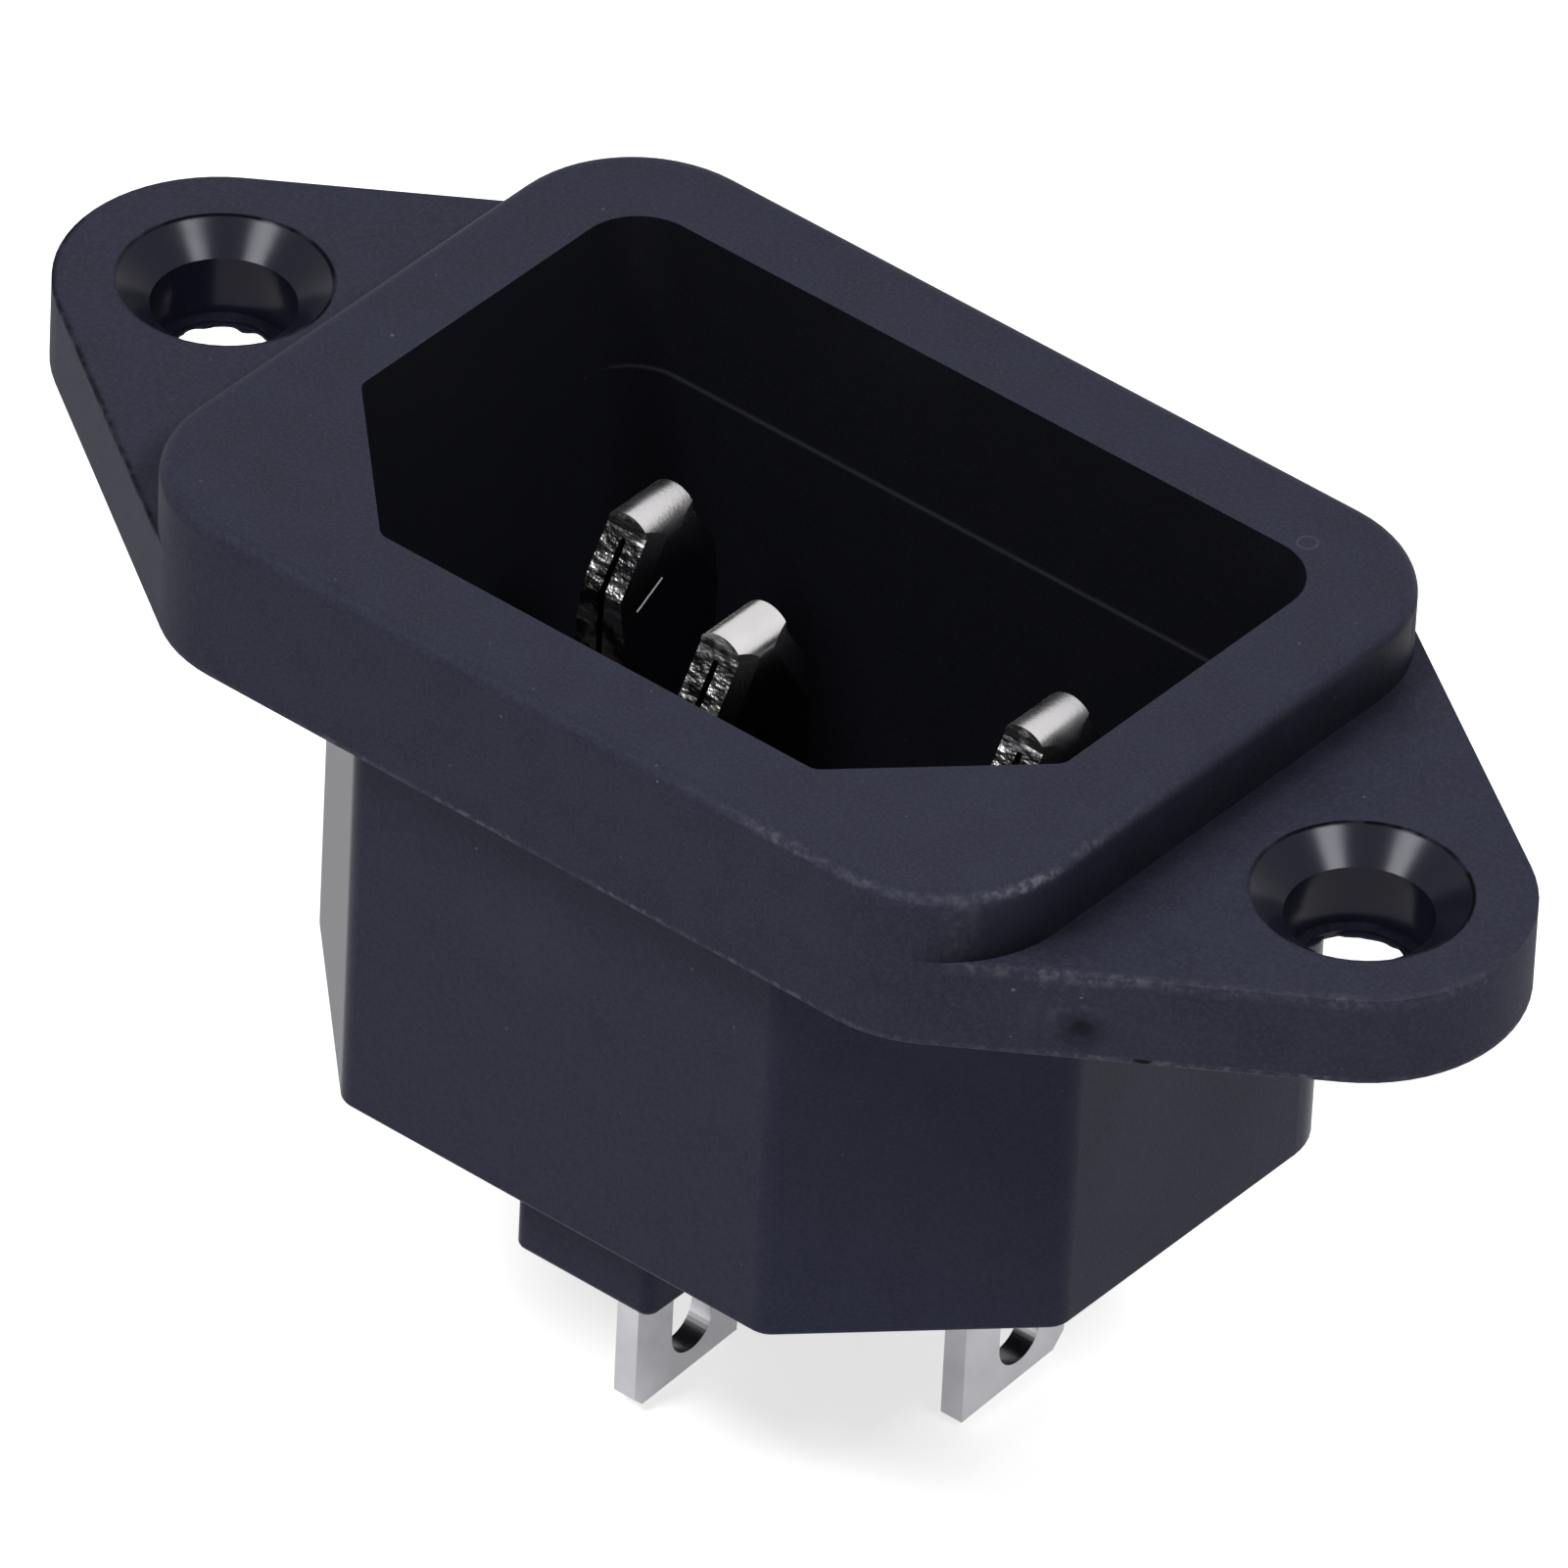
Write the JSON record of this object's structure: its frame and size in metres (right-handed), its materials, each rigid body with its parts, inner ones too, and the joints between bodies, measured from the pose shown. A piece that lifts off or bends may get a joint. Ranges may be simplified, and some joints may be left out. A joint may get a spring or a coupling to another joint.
{
  "type": "appliance inlet",
  "caption": "Black flanged chassis mount appliance inlet with folded blade contacts, countersunk mounting ears and slotted rear solder lugs",
  "frame": {"origin": "on the flange's rear face, halfway between the two fixing holes", "axes": "+X along the row of fixing holes, +Z out of the mouth, -Y the keyed side with the two cut corners"},
  "size_m": [0.0494, 0.022, 0.0283],
  "materials": {
    "body": "fine matte moulded texture",
    "contacts": "bright nickel plated brass strip with sheared edges"
  },
  "bodies": {
    "root": {"housing": "body", "line_contact": "contacts", "neutral_contact": "contacts", "earth_contact": "contacts"}
  },
  "joints": []
}
